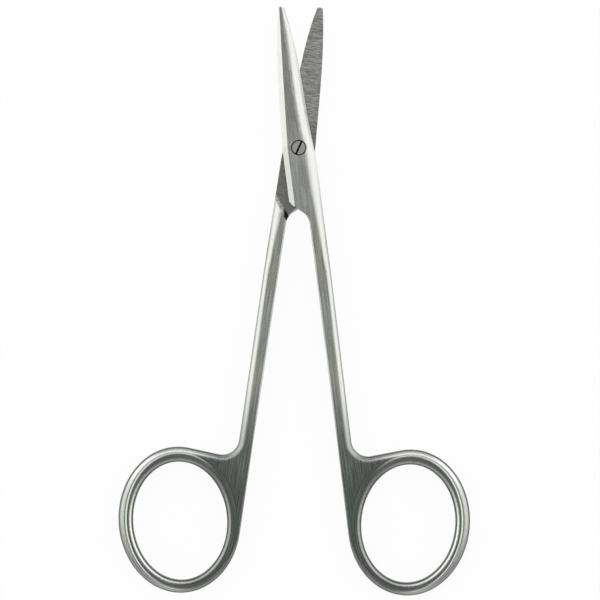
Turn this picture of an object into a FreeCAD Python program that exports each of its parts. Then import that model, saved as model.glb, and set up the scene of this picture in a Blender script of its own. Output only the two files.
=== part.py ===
"""Dissecting scissors: two forged halves on a countersunk joint screw.

Each half is modelled closed, in its own frame: +Y runs from the joint to the tip, +X to the side
of its own finger ring, and z = 0 is the plane in which the two halves meet.  The lower half is the
same forging turned over.  In the part's frame the scissors lie flat, with the origin on the joint's
axis at the underside, the tips towards +Y and the upper half on top.
"""
import FreeCAD, Part
import math
import os

import Sketcher
from FreeCAD import Placement, Rotation, Vector

SHEET = "Sizes"

SIZES = {
    # how far the halves stand open, in degrees, and the play between their faces
    "opening": 15.9,
    "lap_clearance": 0.04,
    "shoulder_clearance": 0.15,
    # the box of the joint, measured from the meeting plane and from the joint's axis
    "joint_height": 1.9,
    "joint_spine": 3.13,
    "joint_reach": 3.03,
    "joint_crown": 0.8,
    "joint_land": 0.9,
    "joint_tail": 2.5,
    "heel_place": 10.3,
    "chamfer_width": 1.0,
    "chamfer_drop": 0.75,
    # the front of the box, where the blade starts
    "front_place": 0.5,
    "front_reach": 2.82,
    "front_crown": 0.75,
    # the blade behind its middle
    "root_place": 8.0,
    "root_spine": 2.65,
    "root_reach": 2.35,
    "root_crown": 0.05,
    "root_chamfer": 1.0,
    "root_drop": 0.65,
    "root_height": 1.52,
    # the blade before its middle
    "fore_place": 18.0,
    "fore_spine": 1.87,
    "fore_reach": 1.86,
    "fore_crown": 0.0,
    "fore_chamfer": 0.88,
    "fore_drop": 0.42,
    "fore_height": 1.0,
    "edge_land": 0.12,
    # the blunt tip
    "tip_place": 27.3,
    "tip_spine": 0.52,
    "tip_reach": 0.5,
    "tip_crown": 0.0,
    "tip_chamfer": 0.2,
    "tip_drop": 0.15,
    "tip_height": 0.6,
    "tip_round": 0.85,
    # the hollow ground into the inner face of the blade
    "hollow_start": 3.4,
    "hollow_depth": 0.09,
    "hollow_tilt": 0.24,
    "hollow_radius": 25.0,
    # spare length and width of the cutting shapes, past the faces that they cut
    "margin": 6.0,
    # the half-round shank and the throat behind the heel
    "shank_place": 24.0,
    "shank_reach": 3.09,
    "shank_height": 1.6,
    "shank_land": 0.6,
    "throat_gap": 0.27,
    "throat_place": 13.3,
    "throat_round": 3.0,
    "inner_round": 0.2,
    # the sloping shoulder, where the heel of the other half stops, at the meeting plane
    "shoulder_place": 9.07,
    "shoulder_end": 13.25,
    "shoulder_slope": 27.0,
    # the neck, where the shank runs into the flat web of the ring
    "neck_run": 0.79,
    "neck_gap": 0.2,
    "neck_reach": 2.9,
    "plate_height": 1.35,
    "web_round": 3.2,
    "web_slope": 3.5,
    # the finger ring
    "ring_side": 11.91,
    "ring_place": 73.98,
    "ring_tilt": 11.95,
    "ring_length": 22.68,
    "ring_width": 18.04,
    "rim_width": 2.7,
    "rim_land": 0.15,
    "bore_shift": 0.15,
    "bore_drop": 0.15,
    "bore_land": 0.55,
    "rim_fade": 50.0,
    # the joint screw
    "head_diameter": 2.8,
    "head_rim": 0.15,
    "head_bevel": 0.06,
    "thread_diameter": 1.8,
    "seat_clearance": 0.04,
    "thread_clearance": 0.02,
    "slot_width": 0.38,
    "slot_depth": 0.45,
    "slot_turn": 23.4,
}

UP = Vector(0, 0, 1)
UPRIGHT = Rotation(Vector(1, 0, 0), 90)


class Size:
    """A number from the sheet, or one worked out from such numbers, and the expression for it."""

    def __init__(self, number, text):
        self.number = number
        self.text = text

    def __add__(self, other):
        other = as_size(other)
        return Size(self.number + other.number, f"({self.text} + {other.text})")

    def __sub__(self, other):
        other = as_size(other)
        return Size(self.number - other.number, f"({self.text} - {other.text})")

    def __mul__(self, other):
        other = as_size(other)
        return Size(self.number * other.number, f"({self.text} * {other.text})")

    def __truediv__(self, other):
        other = as_size(other)
        return Size(self.number / other.number, f"({self.text} / {other.text})")

    def __neg__(self):
        return Size(-self.number, f"(-{self.text})")


def as_size(value):
    return value if isinstance(value, Size) else Size(value, str(value))


class Sizes:
    """The driving dimensions by name, read back from the sheet, and the sizes that follow them."""

    def __init__(self, sheet):
        for name in SIZES:
            setattr(self, name, Size(float(sheet.get(name)), f"{SHEET}.{name}"))
        self.shank_round = self.shank_height - self.shank_land
        self.rim_round = self.plate_height - self.rim_land
        self.bore_round = self.plate_height - self.bore_land
        self.neck_place = (self.ring_place - self.ring_length / 2 - self.rim_width
                           - self.web_round - self.neck_run)
        self.shoulder_slant = ((self.shoulder_end - self.shoulder_place)
                               / (self.joint_spine + self.throat_gap))


def fill_sheet(doc):
    sheet = doc.addObject("Spreadsheet::Sheet", SHEET)
    for row, (name, value) in enumerate(SIZES.items(), start=1):
        sheet.set(f"A{row}", name)
        sheet.set(f"B{row}", str(value))
        sheet.setAlias(f"B{row}", name)
    doc.recompute()
    return sheet


def bind(thing, prop, size):
    """Drive one property of an object from the sheet."""
    thing.setExpression(prop, as_size(size).text)


def pin(sketch, geometry, point, corner):
    """Hold a point of a sketch at a corner whose coordinates come from the sheet."""
    for kind, size in zip(("DistanceX", "DistanceY"), corner):
        size = as_size(size)
        index = sketch.addConstraint(
            Sketcher.Constraint(kind, -1, 1, geometry, point, size.number))
        sketch.setExpression(f"Constraints[{index}]", size.text)


def draw_outline(sketch, corners, rounds=None):
    """A closed outline of straight sides.  rounds gives the radius of each corner that has one."""
    points = [Vector(as_size(x).number, as_size(y).number, 0) for x, y in corners]
    sides = []
    for start, end in zip(points, points[1:] + points[:1]):
        sides.append(sketch.addGeometry(Part.LineSegment(start, end), False))
    for side, following in zip(sides, sides[1:] + sides[:1]):
        sketch.addConstraint(Sketcher.Constraint("Coincident", side, 2, following, 1))
    for side, corner in zip(sides, corners):
        pin(sketch, side, 1, corner)
    for index, radius in (rounds or {}).items():
        sketch.fillet(sides[index], 1, radius.number, True, True)
        arc = max(g for g in range(sketch.GeometryCount)
                  if sketch.Geometry[g].TypeId == "Part::GeomArcOfCircle")
        constraint = sketch.addConstraint(Sketcher.Constraint("Radius", arc, radius.number))
        sketch.setExpression(f"Constraints[{constraint}]", radius.text)


class Section:
    """One cross-section of the forging, alike above and below the meeting plane."""

    def __init__(self, place, spine, reach, height, crown, chamfer, drop, land):
        self.place = place
        self.spine = spine
        self.reach = reach
        self.height = height
        self.crown = crown
        self.chamfer = chamfer
        self.drop = drop
        self.land = land

    def side_round(self, side):
        """The arc from the land up to the crown, on the upper side (1) or the lower side (-1)."""
        across = self.reach.number - self.crown.number
        rise = self.height.number - self.land.number
        radius = (across ** 2 + rise ** 2) / (2 * rise)
        low = math.asin(1 - rise / radius)
        centre = Vector(self.crown.number, side * (self.height.number - radius), 0)
        circle = Part.Circle(centre, UP, radius)
        if side > 0:
            return Part.ArcOfCircle(circle, low, math.pi / 2)
        return Part.ArcOfCircle(circle, -math.pi / 2, -low)

    def draw(self, doc, name):
        """The flat spine, its chamfer, the flat crown, and the round side down to the land."""
        sketch = doc.addObject("Sketcher::SketchObject", name)
        sketch.Placement = Placement(Vector(), UPRIGHT)
        bind(sketch, "Placement.Base.y", self.place)
        wall = self.height - self.drop
        ridge = self.chamfer - self.spine
        corners = [
            (-self.spine, -wall), (-self.spine, wall), (ridge, self.height),
            (self.crown, self.height), (self.reach, self.land), (self.reach, -self.land),
            (self.crown, -self.height), (ridge, -self.height),
        ]
        points = [Vector(x.number, y.number, 0) for x, y in corners]
        rounds = {3: self.side_round(1), 5: self.side_round(-1)}
        sides = []
        first = []
        for index, (start, end) in enumerate(zip(points, points[1:] + points[:1])):
            shape = rounds.get(index) or Part.LineSegment(start, end)
            sides.append(sketch.addGeometry(shape, False))
            first.append(2 if index in rounds else 1)
        for index, side in enumerate(sides):
            following = (index + 1) % len(sides)
            kind = "Tangent" if index in (2, 5) else "Coincident"
            sketch.addConstraint(Sketcher.Constraint(
                kind, side, 3 - first[index], sides[following], first[following]))
            pin(sketch, side, first[index], corners[index])
        return sketch


def sections(sizes):
    """The forging's sections from the neck of the ring to the tip."""
    return {
        "neck": Section(
            place=-sizes.neck_place, spine=sizes.joint_spine, reach=sizes.neck_reach,
            height=sizes.plate_height, crown=sizes.neck_reach - sizes.rim_round,
            chamfer=sizes.chamfer_width, drop=sizes.chamfer_drop,
            land=sizes.rim_land),
        "shank": Section(
            place=-sizes.shank_place, spine=sizes.joint_spine, reach=sizes.shank_reach,
            height=sizes.shank_height, crown=sizes.shank_reach - sizes.shank_round,
            chamfer=sizes.chamfer_width, drop=sizes.chamfer_drop,
            land=sizes.shank_land),
        "tail": Section(
            place=-sizes.joint_tail, spine=sizes.joint_spine, reach=sizes.joint_reach,
            height=sizes.joint_height, crown=sizes.joint_crown,
            chamfer=sizes.chamfer_width, drop=sizes.chamfer_drop, land=sizes.joint_land),
        "front": Section(
            place=sizes.front_place, spine=sizes.joint_spine, reach=sizes.front_reach,
            height=sizes.joint_height, crown=sizes.front_crown,
            chamfer=sizes.chamfer_width, drop=sizes.chamfer_drop, land=sizes.joint_land),
        "root": Section(
            place=sizes.root_place, spine=sizes.root_spine, reach=sizes.root_reach,
            height=sizes.root_height, crown=sizes.root_crown,
            chamfer=sizes.root_chamfer, drop=sizes.root_drop, land=sizes.edge_land),
        "fore": Section(
            place=sizes.fore_place, spine=sizes.fore_spine, reach=sizes.fore_reach,
            height=sizes.fore_height, crown=sizes.fore_crown,
            chamfer=sizes.fore_chamfer, drop=sizes.fore_drop, land=sizes.edge_land),
        "tip": Section(
            place=sizes.tip_place, spine=sizes.tip_spine, reach=sizes.tip_reach,
            height=sizes.tip_height, crown=sizes.tip_crown,
            chamfer=sizes.tip_chamfer, drop=sizes.tip_drop, land=sizes.edge_land),
    }


def add(doc, kind, name, **properties):
    """A new object of the document.  A Size drives its property, anything else is set."""
    thing = doc.addObject(kind, name)
    for prop, value in properties.items():
        if isinstance(value, Size):
            bind(thing, prop, value)
        else:
            setattr(thing, prop, value)
    return thing


def outline(doc, name, corners, rounds=None, **properties):
    sketch = add(doc, "Sketcher::SketchObject", name, **properties)
    draw_outline(sketch, corners, rounds)
    return sketch


def forged_bar(doc, sizes):
    """Shank, box and blade: lofts through the sections, which share the sections at their ends."""
    drawn = {name: section.draw(doc, "section_" + name)
             for name, section in sections(sizes).items()}

    def loft(name, *names, ruled):
        return add(doc, "Part::Loft", name, Sections=[drawn[n] for n in names],
                   Solid=True, Ruled=ruled)

    shank = loft("shank", "neck", "shank", "tail", ruled=True)
    box = loft("box", "tail", "front", ruled=True)
    blade = loft("blade", "front", "root", "fore", "tip", ruled=False)
    return add(doc, "Part::MultiFuse", "bar", Shapes=[shank, box, blade])


def trimmed_bar(doc, sizes, bar):
    """The bar cut to its plan: the heel, the throat, the shank's flat inner wall and the nose."""
    wide = sizes.joint_spine + sizes.margin
    nose = sizes.tip_place - sizes.tip_round
    plan = outline(doc, "plan", [
        (sizes.neck_gap, -sizes.neck_place), (wide, -sizes.neck_place), (wide, nose),
        (-wide, nose), (-wide, -sizes.heel_place), (-sizes.joint_spine, -sizes.heel_place),
        (sizes.throat_gap, -sizes.throat_place)], {6: sizes.throat_round})
    trim = add(doc, "Part::Extrusion", "trim", Base=plan, Solid=True, Symmetric=True,
               DirMode="Normal", LengthFwd=sizes.margin * 2)
    tip = add(doc, "Part::Cylinder", "nose", Radius=sizes.tip_round, Height=sizes.margin * 2)
    bind(tip, "Placement.Base.y", nose)
    bind(tip, "Placement.Base.z", -sizes.margin)
    whole = add(doc, "Part::MultiFuse", "trim_whole", Shapes=[trim, tip])
    return add(doc, "Part::MultiCommon", "trimmed_bar", Shapes=[bar, whole])


class Oval:
    """The outline of the finger ring: an ellipse whose long axis leans away from the shank."""

    def __init__(self, sizes):
        lean = math.radians(sizes.ring_tilt.number)
        self.centre = Vector(sizes.ring_side.number, -sizes.ring_place.number, 0)
        self.along = Vector(math.sin(lean), math.cos(lean), 0)
        self.across = Vector(-self.along.y, self.along.x, 0)
        self.length = sizes.ring_length.number / 2 + sizes.rim_width.number
        self.width = sizes.ring_width.number / 2 + sizes.rim_width.number

    def point(self, turn):
        return (self.centre + self.along * (self.length * math.cos(turn))
                + self.across * (self.width * math.sin(turn)))

    def arc(self, start, end):
        ellipse = Part.Ellipse(self.point(0), self.point(math.pi / 2), self.centre)
        return Part.ArcOfEllipse(ellipse, start, end)

    def touched_along(self, direction):
        """Where a line in this direction touches the outline, on the side away from the hand."""
        normal = Vector(-direction.y, direction.x, 0)
        return math.atan2(self.width * self.across.dot(normal), self.length * self.along.dot(normal))

    def touched_from(self, outside):
        """Where a line from this point touches the outline, on the side of the shank."""
        offset = outside - self.centre
        x = offset.dot(self.along) / self.length
        y = offset.dot(self.across) / self.width
        return math.atan2(y, x) + math.acos(1 / math.hypot(x, y))


def ring_plate(doc, sizes):
    """The flat web and the finger ring, with round edges that fade out along the web."""
    oval = Oval(sizes)
    reach = sizes.neck_reach.number
    neck = -sizes.neck_place.number
    slope = math.radians(sizes.web_slope.number)
    rise = Vector(math.cos(slope), math.sin(slope), 0)
    normal = Vector(-rise.y, rise.x, 0)
    top_turn = oval.touched_along(rise)
    top = oval.point(top_turn)
    inner_neck = Vector(sizes.neck_gap.number, neck, 0)
    outer_neck = Vector(reach, neck, 0)
    side_turn = oval.touched_from(inner_neck)
    fade_turn = side_turn + math.radians(sizes.rim_fade.number)
    radius = sizes.web_round.number
    bend = top + normal * radius
    bend = bend + rise * ((reach + radius - bend.x) / rise.x)
    bend_side = Vector(reach, bend.y, 0)
    bend_end = bend - normal * radius
    bend_middle = bend + (bend_side + bend_end - bend * 2).normalize() * radius
    main_turn = top_turn + 2 * math.pi
    run = [
        Part.LineSegment(inner_neck, oval.point(side_turn)),
        oval.arc(side_turn, fade_turn),
        oval.arc(fade_turn, main_turn),
        Part.LineSegment(top, bend_end),
        Part.Arc(bend_end, bend_middle, bend_side),
        Part.LineSegment(bend_side, outer_neck),
        Part.LineSegment(outer_neck, inner_neck),
    ]
    flat = add(doc, "Part::Feature", "ring_outline",
               Shape=Part.Face(Part.Wire([piece.toShape() for piece in run])))
    blank = add(doc, "Part::Extrusion", "ring_blank", Base=flat, Solid=True, Symmetric=True,
                DirMode="Custom", Dir=UP, LengthFwd=sizes.plate_height * 2)
    opening = add(doc, "Part::Ellipse", "ring_opening",
                  MajorRadius=sizes.ring_length / 2, MinorRadius=sizes.ring_width / 2,
                  Placement=Placement(Vector(), Rotation(UP, 90)))
    bind(opening, "Placement.Base.x", sizes.ring_side - sizes.bore_shift)
    bind(opening, "Placement.Base.y", -sizes.ring_place - sizes.bore_drop)
    bind(opening, "Placement.Rotation.Angle", Size(90.0, "90") - sizes.ring_tilt)
    punch = add(doc, "Part::Extrusion", "ring_punch", Base=opening, Solid=True, Symmetric=True,
                DirMode="Custom", Dir=UP, LengthFwd=sizes.margin * 2)
    plate = add(doc, "Part::Cut", "ring_flat", Base=blank, Tool=punch)
    doc.recompute()

    rim = sizes.rim_round.number
    inner = sizes.inner_round.number
    bore = sizes.bore_round.number
    opening_edge = opening.Shape.Edges[0].valueAt(1.0)
    rounds = [
        (run[0].value(run[0].length() / 2), inner, inner),
        (oval.point((side_turn + fade_turn) / 2), inner, rim),
        (oval.point((fade_turn + main_turn) / 2), rim, rim),
        ((top + bend_end) / 2, rim, rim),
        (bend_middle, rim, rim),
        ((bend_side + outer_neck) / 2, rim, rim),
        (opening_edge, bore, bore),
    ]
    height = Vector(0, 0, sizes.plate_height.number)
    edges = []
    for place, start, end in rounds:
        for spot in (place + height, place - height):
            edges.append((edge_number(plate.Shape, spot), start, end))
    return add(doc, "Part::Fillet", "ring_plate", Base=plate, Edges=edges)


def edge_number(shape, spot):
    """The number of the edge that passes through a spot."""
    vertex = Part.Vertex(spot)
    distances = [edge.distToShape(vertex)[0] for edge in shape.Edges]
    return distances.index(min(distances)) + 1


def eased_bar(doc, sizes, bar):
    """The bar with the sharp edges of its flat inner wall broken."""
    doc.recompute()
    middle = -(sizes.neck_place.number + sizes.shank_place.number) / 2
    gap = (sizes.neck_gap.number + sizes.throat_gap.number) / 2
    height = (sizes.plate_height.number + sizes.shank_height.number) / 2
    radius = sizes.inner_round.number
    edges = [(edge_number(bar.Shape, Vector(gap, middle, side * height)), radius, radius)
             for side in (1, -1)]
    return add(doc, "Part::Fillet", "eased_bar", Base=bar, Edges=edges)


def lap_cutter(doc, sizes, name):
    """What is taken off the inner side, up to a sloping shoulder that clears the other heel."""
    wide = sizes.joint_spine + sizes.margin
    top = sizes.tip_place + sizes.margin
    start = -sizes.shoulder_place - sizes.shoulder_clearance
    plan = outline(doc, name + "_plan", [
        (-wide, start - sizes.shoulder_slant * (sizes.joint_spine + wide)),
        (wide, start + sizes.shoulder_slant * sizes.margin), (wide, top), (-wide, top)])
    bind(plan, "Placement.Base.z", sizes.lap_clearance / 2)
    return add(doc, "Part::Extrusion", name, Base=plan, Solid=True, DirMode="Custom",
               Dir=-UP, LengthFwd=sizes.margin, TaperAngle=sizes.shoulder_slope)


def heel_cutter(doc, sizes, name):
    """The undercut of the heel, which leans back as the shoulder of the other half does."""
    wide = sizes.joint_spine + sizes.margin
    bottom = -sizes.throat_place - sizes.margin
    plan = outline(doc, name + "_plan", [
        (sizes.throat_gap, -sizes.shoulder_end), (sizes.neck_gap, bottom), (-wide, bottom),
        (-wide, sizes.shoulder_slant * sizes.margin - sizes.shoulder_place)])
    bind(plan, "Placement.Base.z", -sizes.lap_clearance / 2)
    return add(doc, "Part::Extrusion", name, Base=plan, Solid=True, DirMode="Custom",
               Dir=UP, LengthFwd=sizes.joint_height, TaperAngle=-sizes.shoulder_slope)


def hollow_cutter(doc, sizes, name):
    """The grinding wheel's path along the inner face: it runs out before the tip."""
    wheel = add(doc, "Part::Cylinder", name, Radius=sizes.hollow_radius,
                Height=sizes.tip_place + sizes.margin - sizes.hollow_start,
                Placement=Placement(Vector(), Rotation(Vector(-1, 0, 0), 90)))
    bind(wheel, "Placement.Rotation.Angle", Size(90.0, "90") + sizes.hollow_tilt)
    bind(wheel, "Placement.Base.y", sizes.hollow_start)
    bind(wheel, "Placement.Base.z",
         sizes.lap_clearance / 2 + sizes.hollow_depth - sizes.hollow_radius)
    return wheel


def forged_half(doc, sizes, name):
    """One half before drilling: the bar and the ring in one, relieved for the other half."""
    forging = add(doc, "Part::MultiFuse", name + "_forging", Shapes=[
        eased_bar(doc, sizes, trimmed_bar(doc, sizes, forged_bar(doc, sizes))),
        ring_plate(doc, sizes)])
    lap = lap_cutter(doc, sizes, name + "_lap")
    heel = heel_cutter(doc, sizes, name + "_heel")
    hollow = hollow_cutter(doc, sizes, name + "_hollow")
    relieved = add(doc, "Part::Cut", name + "_relieved", Base=forging, Tool=lap)
    undercut = add(doc, "Part::Cut", name + "_undercut", Base=relieved, Tool=heel)
    return add(doc, "Part::Cut", name, Base=undercut, Tool=hollow)


def screw_seat(doc, sizes, name):
    """The plain hole and the countersink, a seat clearance wider than the screw all round."""
    hole = sizes.thread_diameter / 2 + sizes.seat_clearance
    mouth = sizes.head_diameter / 2 + sizes.seat_clearance
    rim = sizes.joint_height - sizes.head_rim
    top = sizes.joint_height + sizes.margin
    profile = outline(doc, name + "_profile", [
        (0, -sizes.margin), (hole, -sizes.margin),
        (hole, rim - (sizes.head_diameter - sizes.thread_diameter) / 2),
        (mouth, rim), (mouth, top), (0, top)], Placement=Placement(Vector(), UPRIGHT))
    return add(doc, "Part::Revolution", name, Source=profile, Solid=True, Axis=UP, Angle=360)


def upper_half(doc, sizes, half):
    """The half in front, drilled and countersunk, turned open by its share of the angle."""
    upper = add(doc, "Part::Cut", "upper_half", Base=half, Tool=screw_seat(doc, sizes, "screw_seat"),
                Placement=Placement(Vector(), Rotation(UP, 1)))
    bind(upper, "Placement.Base.z", sizes.joint_height)
    bind(upper, "Placement.Rotation.Angle", sizes.opening / 2)
    return upper


def lower_half(doc, sizes, half):
    """The same forging turned over about its length, with the threaded hole."""
    hole = add(doc, "Part::Cylinder", "threaded_hole", Height=sizes.margin * 2,
               Radius=sizes.thread_diameter / 2 + sizes.thread_clearance)
    bind(hole, "Placement.Base.z", -sizes.margin)
    lean = math.radians(sizes.opening.number / 4)
    length = Vector(math.sin(lean), math.cos(lean), 0)
    lower = add(doc, "Part::Cut", "lower_half", Base=half, Tool=hole,
                Placement=Placement(Vector(), Rotation(length, 180)))
    bind(lower, "Placement.Base.z", sizes.joint_height)
    return lower


def origin_plane(body, role):
    return next(plane for plane in body.Origin.OriginFeatures if plane.Role == role)


def joint_screw(doc, sizes):
    """A turned screw with a flush, slotted, countersunk head and an end dressed flush below."""
    body = doc.addObject("PartDesign::Body", "joint_screw")
    top = sizes.joint_height * 2
    rim = top - sizes.head_rim
    head = sizes.head_diameter / 2
    stem = sizes.thread_diameter / 2
    profile = body.newObject("Sketcher::SketchObject", "screw_profile")
    profile.AttachmentSupport = (origin_plane(body, "XZ_Plane"), "")
    profile.MapMode = "FlatFace"
    draw_outline(profile, [
        (0, 0), (stem, 0), (stem, rim - head + stem), (head, rim),
        (head, top - sizes.head_bevel), (head - sizes.head_bevel, top), (0, top)])
    turned = body.newObject("PartDesign::Revolution", "turned_screw")
    turned.Profile = profile
    turned.ReferenceAxis = (profile, ["V_Axis"])
    turned.Angle = 360
    doc.recompute()

    slot_plan = body.newObject("Sketcher::SketchObject", "slot_plan")
    slot_plan.AttachmentSupport = (origin_plane(body, "XY_Plane"), "")
    slot_plan.MapMode = "FlatFace"
    slot_plan.AttachmentOffset = Placement(Vector(), Rotation(-UP, 1))
    bind(slot_plan, "AttachmentOffset.Base.z", top)
    bind(slot_plan, "AttachmentOffset.Rotation.Angle", sizes.slot_turn)
    side = sizes.slot_width / 2
    end = sizes.head_diameter
    draw_outline(slot_plan, [(-side, -end), (side, -end), (side, end), (-side, end)])
    slot = body.newObject("PartDesign::Pocket", "slot")
    slot.Profile = slot_plan
    bind(slot, "Length", sizes.slot_depth)
    doc.recompute()
    if slot.Shape.Volume >= turned.Shape.Volume:
        raise RuntimeError("the slot cuts nothing from the head of the screw")
    return body


def check(doc, pieces):
    """Stop before anything is written if an object failed or a piece is not one sound solid."""
    for thing in doc.Objects:
        if {"Invalid", "Error"} & set(thing.State):
            raise RuntimeError(f"{thing.Name} did not compute: {thing.State}")
    for piece in pieces:
        if piece.Shape.isNull() or not piece.Shape.isValid() or len(piece.Shape.Solids) != 1:
            raise RuntimeError(f"{piece.Label} is not one valid solid")


def main():
    doc = FreeCAD.newDocument("DissectingScissors")
    sizes = Sizes(fill_sheet(doc))
    half = forged_half(doc, sizes, "half")
    pieces = [upper_half(doc, sizes, half), lower_half(doc, sizes, half), joint_screw(doc, sizes)]
    doc.recompute()
    check(doc, pieces)
    os.makedirs("parts", exist_ok=True)
    for piece in pieces:
        piece.Shape.exportStep(f"parts/{piece.Label}.step")
        box = piece.Shape.BoundBox
        print(f"{piece.Label}: {piece.Shape.Volume:.2f} mm3, {len(piece.Shape.Faces)} faces, "
              f"x {box.XMin:.2f} to {box.XMax:.2f}, y {box.YMin:.2f} to {box.YMax:.2f}")


main()
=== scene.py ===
import math

import bmesh
import bpy
from mathutils import Euler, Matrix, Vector

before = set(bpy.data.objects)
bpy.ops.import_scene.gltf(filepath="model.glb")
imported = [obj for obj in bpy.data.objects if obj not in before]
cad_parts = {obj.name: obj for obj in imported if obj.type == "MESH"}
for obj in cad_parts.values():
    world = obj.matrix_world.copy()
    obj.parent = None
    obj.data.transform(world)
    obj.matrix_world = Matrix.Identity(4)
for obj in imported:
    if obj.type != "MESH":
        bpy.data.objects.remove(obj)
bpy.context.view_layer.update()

# The two halves.  Each is forged from one bar of stainless steel with its finger ring, ground to
# shape and given a satin finish: fine brush lines run along the blade, the shank and the web and
# go round the ring, and the inner face of the blade keeps the cross marks of its grinding wheel.
MM = 1000
OPENING = math.radians(15.9)
MEETING_HEIGHT = 1.9
STEEL = (0.64, 0.64, 0.62)
# A near-black painted shade, for the gap round the screw head, its slot and the shoulder's inner
# corner.
GAP_SHADE = (0.02, 0.02, 0.02)


class Graph:
    """The node tree of a material or of the studio, with short ways to add a node and link it."""

    def __init__(self, tree):
        self.tree = tree
        tree.nodes.clear()

    def add(self, kind, inputs=None, **settings):
        node = self.tree.nodes.new(kind)
        for name, value in settings.items():
            setattr(node, name, value)
        for name, value in (inputs or {}).items():
            if isinstance(value, bpy.types.NodeSocket):
                self.tree.links.new(value, node.inputs[name])
            else:
                node.inputs[name].default_value = value
        return node

    def math(self, operation, *values):
        inputs = dict(enumerate(values))
        return self.add("ShaderNodeMath", inputs, operation=operation).outputs[0]

    def vector(self, operation, *values):
        inputs = dict(enumerate(values))
        return self.add("ShaderNodeVectorMath", inputs, operation=operation).outputs[0]

    def dot(self, first, second):
        return self.add("ShaderNodeVectorMath", {0: first, 1: second},
                        operation="DOT_PRODUCT").outputs["Value"]

    def join(self, *values):
        return self.add("ShaderNodeCombineXYZ", dict(enumerate(values))).outputs[0]

    def radius(self, vector):
        flat = self.vector("MULTIPLY", vector, (1, 1, 0))
        return self.add("ShaderNodeVectorMath", {0: flat}, operation="LENGTH").outputs["Value"]

    def part(self, vector, axis):
        return self.add("ShaderNodeSeparateXYZ", {0: vector}).outputs[axis]

    def remap(self, value, low, high, to_low=0.0, to_high=1.0):
        return self.add("ShaderNodeMapRange", {
            "Value": value, "From Min": low, "From Max": high,
            "To Min": to_low, "To Max": to_high}, interpolation_type="SMOOTHSTEP").outputs["Result"]

    def noise(self, place, detail=4.0):
        return self.add("ShaderNodeTexNoise", {
            "Vector": place, "Scale": 1.0, "Detail": detail}).outputs["Fac"]

    def blend(self, share, first, second):
        node = self.add("ShaderNodeMix", {"Factor": share}, data_type="FLOAT")
        for socket, value in ((node.inputs[2], first), (node.inputs[3], second)):
            self.tree.links.new(value, socket)
        return node.outputs[0]

    def tint(self, share, first, second):
        node = self.add("ShaderNodeMix", {"Factor": share}, data_type="RGBA")
        for socket, value in ((node.inputs[6], first), (node.inputs[7], second)):
            if isinstance(value, bpy.types.NodeSocket):
                self.tree.links.new(value, socket)
            else:
                socket.default_value = (*value, 1)
        return node.outputs[2]


def blank_material(name):
    material = bpy.data.materials.new(name)
    material.use_nodes = True
    return material, Graph(material.node_tree)


def finish_steel(graph, colour, rough, relief, strength, depth):
    """Ends a graph as bare metal, with its relief as a bump.  The depth is in metres."""
    bump = graph.add("ShaderNodeBump", {
        "Height": relief, "Strength": strength, "Distance": depth}).outputs[0]
    shader = graph.add("ShaderNodeBsdfPrincipled", {
        "Base Color": colour, "Metallic": 1.0, "Roughness": rough, "Normal": bump})
    graph.add("ShaderNodeOutputMaterial", {"Surface": shader.outputs[0]})


RING_CENTRE = (11.76, -74.13, 0)
RING_TILT = math.radians(11.95)
BORE_HALF_WIDTH = 9.02
BORE_HALF_LENGTH = 11.34


def ring_place(graph, local):
    """The place along and across the finger hole, and its distance from the middle: 1 at its wall."""
    sine = math.sin(RING_TILT)
    cosine = math.cos(RING_TILT)
    spot = graph.vector("SUBTRACT", local, RING_CENTRE)
    lengthwise = graph.dot(spot, (sine / BORE_HALF_LENGTH, cosine / BORE_HALF_LENGTH, 0))
    crosswise = graph.dot(spot, (-cosine / BORE_HALF_WIDTH, sine / BORE_HALF_WIDTH, 0))
    squares = graph.math("ADD", graph.math("MULTIPLY", lengthwise, lengthwise),
                         graph.math("MULTIPLY", crosswise, crosswise))
    return lengthwise, crosswise, graph.math("SQRT", squares)


BRUSH = (8.0, 0.12, 8.0)
RING_BRUSH = 60.0
RIM_ENDS = (1.27, 1.19)


def brush_lines(graph, local, lengthwise, crosswise, outward):
    """Brush lines that run along the bar, and on the ring round its hole."""
    straight = graph.noise(graph.vector("MULTIPLY", local, BRUSH))
    circling = graph.noise(graph.join(graph.math("MULTIPLY", outward, RING_BRUSH),
                                      graph.math("DIVIDE", lengthwise, outward),
                                      graph.math("DIVIDE", crosswise, outward)))
    return graph.blend(graph.remap(outward, *RIM_ENDS), straight, circling)


FACE_NEAR = (0.25, 0.2)
FACE_LEVEL = (0.8, 0.9)


def inner_face(graph, local, facing, side):
    """1 on the ground inner face, which lies where the halves meet and faces the other half."""
    away = graph.math("ABSOLUTE", graph.math("SUBTRACT", graph.part(local, 2), MEETING_HEIGHT))
    turned = graph.remap(graph.math("MULTIPLY", facing, -side), *FACE_LEVEL)
    return graph.math("MULTIPLY", graph.remap(away, *FACE_NEAR), turned)


MARK_ENDS = (0.36, 0.6)
LAP_ENDS = (7.0, 2.0)
CUT_STEEL = (0.42, 0.42, 0.4)
FACE_STEEL = (0.64, 0.64, 0.615)
LAP_SHADE_STEEL = (0.38, 0.385, 0.37)


def ground_steel(graph, marks, along):
    """The inner face: pale steel with darker cross marks, and painted shade in the lap of the joint.
    """
    ground = graph.tint(graph.remap(marks, *MARK_ENDS), CUT_STEEL, FACE_STEEL)
    return graph.tint(graph.remap(along, *LAP_ENDS), ground, LAP_SHADE_STEEL)


SHOULDER_LOW = (-16.5, -15.5)
SHOULDER_HIGH = (-7.5, -8.5)
SHOULDER_SLOPE = (0.25, 0.4)


def shoulder_face(graph, along, normal):
    """1 on the sloping shoulder, on which the heel of the other half stops."""
    reach = graph.math("MULTIPLY", graph.remap(along, *SHOULDER_LOW),
                       graph.remap(along, *SHOULDER_HIGH))
    return graph.math("MULTIPLY", reach, graph.remap(graph.part(normal, 1), *SHOULDER_SLOPE))


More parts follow.
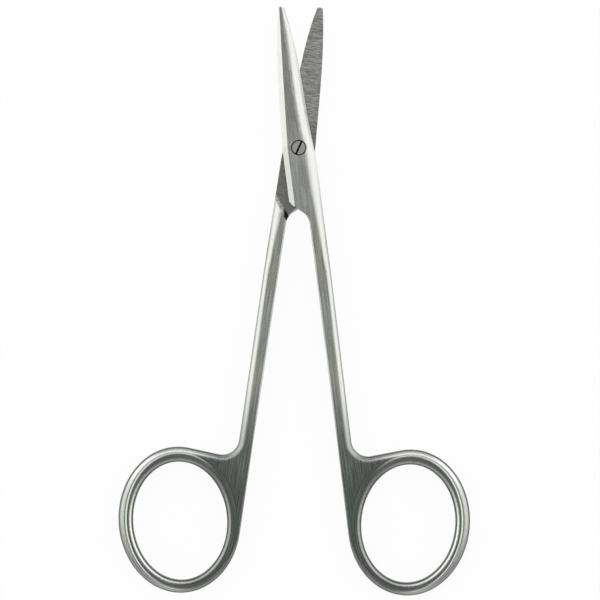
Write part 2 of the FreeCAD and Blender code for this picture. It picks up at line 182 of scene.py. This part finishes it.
STREAKS = (3.0, 3.0, 0.5)
STREAK_ENDS = (0.35, 0.6)
CORNER_ENDS = (1.3, 0.7)
SHOULDER_HIGHLIGHT_STEEL = (0.97, 0.97, 0.96)


def shoulder_steel(graph, local, beside):
    """The shoulder's file streaks, painted bright as highlights, and painted shade in the dark corner
    at its inner end.
    """
    streaks = graph.remap(graph.noise(graph.vector("MULTIPLY", local, STREAKS)), *STREAK_ENDS)
    filed_highlight = graph.tint(streaks, STEEL, SHOULDER_HIGHLIGHT_STEEL)
    return graph.tint(graph.remap(beside, *CORNER_ENDS), filed_highlight, GAP_SHADE)


BORE_EDGE = (1.18, 1.12)
BORE_ROUND = (0.94, 0.68)
OUTER_ROUND = (0.93, 0.5)
WALL_SLOPE = (0.62, 0.25)


def steep_wall(graph, flatness, ringward, outward):
    """1 on the steep walls, and on the ring already where its rounds begin to fall; there the colour
    is painted dark as shade.
    """
    rounds = graph.blend(graph.remap(outward, *BORE_EDGE), graph.remap(flatness, *OUTER_ROUND),
                         graph.remap(flatness, *BORE_ROUND))
    return graph.math("MAXIMUM", graph.math("MULTIPLY", ringward, rounds),
                      graph.remap(flatness, *WALL_SLOPE))


BLADE_ENDS = (-2.0, 6.0)
CROWN_LIGHT_AND_SHADE = (1.12, 0.74)
LINE_STEEL = (0.55, 0.555, 0.535)


def bar_steel(graph, lines, level, along):
    """The bar: steel with darker brush lines, and a level crown painted lighter at the joint and
    greyer on the blade, as painted light and shade.
    """
    brushed = graph.tint(lines, LINE_STEEL, STEEL)
    crown = graph.vector("MULTIPLY", brushed, graph.remap(along, *BLADE_ENDS, *CROWN_LIGHT_AND_SHADE))
    return graph.tint(level, brushed, crown)


CREST_PLACE = 1.145
CREST_WIDTH = 0.02


def ring_crest(graph, outward, webward):
    """1 on the fine crest that runs round the ring and ends at the web; it is a raised ridge in the
    bump, and the colour keeps it bright as a painted highlight line.
    """
    away = graph.math("ABSOLUTE", graph.math("SUBTRACT", outward, CREST_PLACE))
    return graph.math("MULTIPLY", graph.remap(away, CREST_WIDTH, 0.0),
                      graph.math("SUBTRACT", 1.0, webward))


FLANK_ENDS = (1.17, 1.21)
FLANK_TOP = (0.95, 0.5)
RING_HIGHLIGHT_STEEL = (0.76, 0.77, 0.75)
RING_CROWN_SHADE_STEEL = (0.4, 0.415, 0.395)
FLANK_SHADE_STEEL = (0.47, 0.48, 0.46)
WEB_SHADE_STEEL = (0.39, 0.405, 0.385)
WEB_LINE_SHADE_STEEL = (0.26, 0.275, 0.26)


def ring_steel(graph, lines, level, crest, webward, lengthwise, outward):
    """The ring: rounds and crest painted bright as highlights, a crown and outer flank painted grey
    as shade, and the brushed web, painted darker as shade.
    """
    ring = graph.tint(graph.math("SUBTRACT", level, crest), RING_HIGHLIGHT_STEEL, RING_CROWN_SHADE_STEEL)
    flank = graph.math("MULTIPLY", graph.remap(outward, *FLANK_ENDS),
                       graph.remap(lengthwise, *FLANK_TOP))
    ring = graph.tint(flank, ring, FLANK_SHADE_STEEL)
    return graph.tint(webward, ring, graph.tint(lines, WEB_LINE_SHADE_STEEL, WEB_SHADE_STEEL))


LEVEL_ENDS = (0.95, 0.99)
RING_REACH = (1.67, 1.37)
WEB_SIDE = (12.5, 5.5)
WEB_START = (-44.0, -60.0)
SEAT_EDGE = (1.54, 1.44)
LINE_ENDS = (0.35, 0.65)
CROSS_MARKS = (0.8, 5.0, 5.0)
MARK_DETAIL = 5.0
# Near-black painted shade, for the steep walls and the falling rounds of the ring.
WALL_SHADE_STEEL = (0.1, 0.105, 0.1)
SATIN_ENDS = (0.3, 0.7)
SATIN_ROUGHNESS = (0.22, 0.32)
RING_POLISH = 0.05
SHOULDER_ROUGHNESS = 0.7
CREST_RISE = 9.0
SATIN_STRENGTH = 0.35
SATIN_DEPTH = 0.00003


def satin_steel(name, turn, side):
    """Satin steel for one half: its turn about the joint, and the side of its ring, 1 or -1.

    Local places are millimetres from the joint, with the tip along +Y and the ring towards +X.
    """
    material, graph = blank_material(name)
    source = graph.add("ShaderNodeTexCoord").outputs
    place = graph.add("ShaderNodeMapping", {
        "Vector": source["Object"], "Rotation": (0, 0, -turn), "Scale": (MM, MM, MM)}).outputs[0]
    normal = graph.add("ShaderNodeMapping", {
        "Vector": source["Normal"], "Rotation": (0, 0, -turn)}, vector_type="NORMAL").outputs[0]
    local = graph.vector("MULTIPLY", place, (side, 1, 1))
    beside = graph.part(local, 0)
    along = graph.part(local, 1)
    facing = graph.part(normal, 2)
    flatness = graph.math("ABSOLUTE", facing)
    level = graph.remap(flatness, *LEVEL_ENDS)

    lengthwise, crosswise, outward = ring_place(graph, local)
    ringward = graph.remap(outward, *RING_REACH)
    webward = graph.remap(beside, *WEB_SIDE)
    crest = ring_crest(graph, outward, webward)
    inner = inner_face(graph, local, facing, side)
    shoulder = shoulder_face(graph, along, normal)
    brushed = brush_lines(graph, local, lengthwise, crosswise, outward)
    lines = graph.remap(brushed, *LINE_ENDS)
    marks = graph.noise(graph.vector("MULTIPLY", local, CROSS_MARKS), MARK_DETAIL)

    # The colour carries painted light: highlights on the ring's rounds, its crest and the shoulder,
    # and shade on the crowns, the web, the lap, the steep walls and the gap round the screw head.
    bar = bar_steel(graph, lines, level, along)
    ring = ring_steel(graph, lines, level, crest, webward, lengthwise, outward)
    colour = graph.tint(graph.remap(along, *WEB_START), bar, ring)
    colour = graph.tint(inner, colour, ground_steel(graph, marks, along))
    colour = graph.tint(steep_wall(graph, flatness, ringward, outward), colour, WALL_SHADE_STEEL)
    colour = graph.tint(shoulder, colour, shoulder_steel(graph, local, beside))
    # A dark ring of painted shade, in the gap round the screw head.
    colour = graph.tint(graph.remap(graph.radius(local), *SEAT_EDGE), colour, GAP_SHADE)

    pattern = graph.blend(inner, brushed, marks)
    satin = graph.remap(pattern, *SATIN_ENDS, *SATIN_ROUGHNESS)
    polished = graph.math("SUBTRACT", satin, graph.math("MULTIPLY", ringward, RING_POLISH))
    rough = graph.math("MAXIMUM", polished, graph.math("MULTIPLY", shoulder, SHOULDER_ROUGHNESS))
    relief = graph.math("ADD", pattern, graph.math("MULTIPLY", crest, CREST_RISE))
    finish_steel(graph, colour, rough, relief, SATIN_STRENGTH, SATIN_DEPTH)
    return material


def dress(node, material):
    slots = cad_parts[node].data.materials
    slots.clear()
    slots.append(material)


dress("lower_half", satin_steel("lower_steel", -OPENING / 2, -1))
dress("upper_half", satin_steel("upper_steel", OPENING / 2, 1))

# The joint screw.  A turned steel screw with a flush, slotted, countersunk head, dressed together
# with the face of the upper half: its slot and the gap round its head are painted dark as shade.
SCREW_TOP = 3.8
SLOT_ENDS = (SCREW_TOP - 0.03, SCREW_TOP - 0.12)
HEAD_RADIUS = 1.4
HEAD_EDGE = (HEAD_RADIUS - 0.2, HEAD_RADIUS - 0.08)
TURNING = 14.0
TURNING_DETAIL = 2.0
SCREW_ROUGHNESS = 0.3
TURNING_STRENGTH = 0.4
TURNING_DEPTH = 0.00002
screw_steel, graph = blank_material("screw_steel")
place = graph.vector("MULTIPLY", graph.add("ShaderNodeTexCoord").outputs["Object"], (MM, MM, MM))
radius = graph.radius(place)
turned = graph.noise(graph.join(graph.math("MULTIPLY", radius, TURNING), 0.0, 0.0), TURNING_DETAIL)
head_gap = graph.remap(radius, *HEAD_EDGE)
slot = graph.remap(graph.part(place, 2), *SLOT_ENDS)
colour = graph.tint(graph.math("MAXIMUM", head_gap, slot), STEEL, GAP_SHADE)
finish_steel(graph, colour, SCREW_ROUGHNESS, turned, TURNING_STRENGTH, TURNING_DEPTH)
dress("joint_screw", screw_steel)

# The floor.  A plain sheet of white paper, which glows to the camera and in the steel, so that it
# stays white there, and keeps a little of the shadow that the scissors throw.
FLOOR_SIZE = 4.0
GLOW_SHARE = 0.95
PAPER = (0.94, 0.94, 0.94, 1)
floor_shape = bmesh.new()
bmesh.ops.create_grid(floor_shape, x_segments=1, y_segments=1, size=FLOOR_SIZE / 2)
floor_mesh = bpy.data.meshes.new("floor")
floor_shape.to_mesh(floor_mesh)
floor_shape.free()
floor = bpy.data.objects.new("floor", floor_mesh)
bpy.context.scene.collection.objects.link(floor)
paper, graph = blank_material("white_paper")
rays = graph.add("ShaderNodeLightPath").outputs
seen = graph.math("MAXIMUM", rays["Is Camera Ray"], rays["Is Glossy Ray"])
seen = graph.math("MAXIMUM", seen, rays["Is Transmission Ray"])
diffuse = graph.add("ShaderNodeBsdfDiffuse", {"Color": PAPER}).outputs[0]
glow = graph.add("ShaderNodeEmission", {"Color": (1, 1, 1, 1), "Strength": 1.0}).outputs[0]
shown = graph.add("ShaderNodeMixShader", {0: GLOW_SHARE, 1: diffuse, 2: glow}).outputs[0]
sheet = graph.add("ShaderNodeMixShader", {0: seen, 1: diffuse, 2: shown}).outputs[0]
graph.add("ShaderNodeOutputMaterial", {"Surface": sheet})
floor_mesh.materials.append(paper)

# The studio.  A wide tent of white cloth, with a dim patch overhead where the camera looks in.
# The patch is dimmest towards the rings, and the cloth is brighter at the tips and at the sides
# than behind the rings.
PATCH = Vector((0, 0.07, 1)).normalized()
PATCH_SQUASH = (1.3, 1, 1)
PATCH_EDGE = (5, 48)
PATCH_TIPWARD = (-0.1, 0.03)
TENT_LIGHT = 1.48
PATCH_LIGHT = 0.27
BASE_LIGHT = 0.04
ROOF_ENDS = (0.45, 0.85)
ROOF_SHARES = (0.45, 1.0)
SIDE_ENDS = (0.25, 0.6)
SIDE_SHARE = 1.03
FRONT_ENDS = (-0.7, 0.1)
BACK_ENDS = (0.15, 0.42)
BACK_SHARES = (0.6, 0.24)
DIM = (0.84, 1.0, 0.86)
BRIGHT = (1.0, 1.0, 0.995)
world = bpy.data.worlds.new("tent")
bpy.context.scene.world = world
world.use_nodes = True
graph = Graph(world.node_tree)
direction = graph.add("ShaderNodeTexCoord").outputs["Generated"]
sideways = graph.math("ABSOLUTE", graph.part(direction, 0))
tipward = graph.part(direction, 1)
upward = graph.part(direction, 2)
squashed = graph.vector("NORMALIZE", graph.vector("MULTIPLY", direction, PATCH_SQUASH))
angle = graph.math("DEGREES", graph.math("ARCCOSINE", graph.dot(squashed, PATCH)))
cloth = graph.remap(angle, *PATCH_EDGE)
lit = graph.remap(tipward, *PATCH_TIPWARD)
patch = graph.math("MULTIPLY", lit, graph.math("SUBTRACT", 1.0, cloth))
light = graph.math("ADD", graph.math("MULTIPLY", cloth, TENT_LIGHT),
                   graph.math("MULTIPLY", patch, PATCH_LIGHT))
roof = graph.remap(upward, *ROOF_ENDS, *ROOF_SHARES)
sides = graph.math("MULTIPLY", graph.remap(sideways, *SIDE_ENDS), SIDE_SHARE)
front = graph.math("MULTIPLY", graph.remap(tipward, *FRONT_ENDS), graph.math("MAXIMUM", roof, sides))
back = graph.remap(upward, *BACK_ENDS, *BACK_SHARES)
strength = graph.math("MULTIPLY", graph.math("ADD", light, BASE_LIGHT),
                      graph.math("MAXIMUM", front, back))
hue = graph.tint(graph.math("MAXIMUM", cloth, lit), DIM, BRIGHT)
background = graph.add("ShaderNodeBackground", {"Color": hue, "Strength": strength})
graph.add("ShaderNodeOutputWorld", {"Surface": background.outputs[0]})

# The camera.  It looks straight down, a little turned, as the photograph does, and a pixel of its
# picture shows PIXEL millimetres at the height where the halves meet.
PICTURE = 600
PIXEL = 0.192
SCREW_PIXEL = (298.8, 148.1)
ROLL = math.radians(0.7)
CAMERA_RISE = 0.6
SENSOR = 36.0
offset = Vector((PICTURE / 2 - SCREW_PIXEL[0], SCREW_PIXEL[1] - PICTURE / 2, 0)) * PIXEL / MM
offset.rotate(Euler((0, 0, ROLL)))
camera_data = bpy.data.cameras.new("camera")
camera_data.sensor_width = SENSOR
camera_data.lens = SENSOR * CAMERA_RISE / (PICTURE * PIXEL / MM)
camera = bpy.data.objects.new("camera", camera_data)
camera.location = offset + Vector((0, 0, CAMERA_RISE + MEETING_HEIGHT / MM))
camera.rotation_euler = (0, 0, ROLL)
bpy.context.scene.collection.objects.link(camera)
bpy.context.scene.camera = camera
bpy.context.scene.view_settings.view_transform = "Standard"
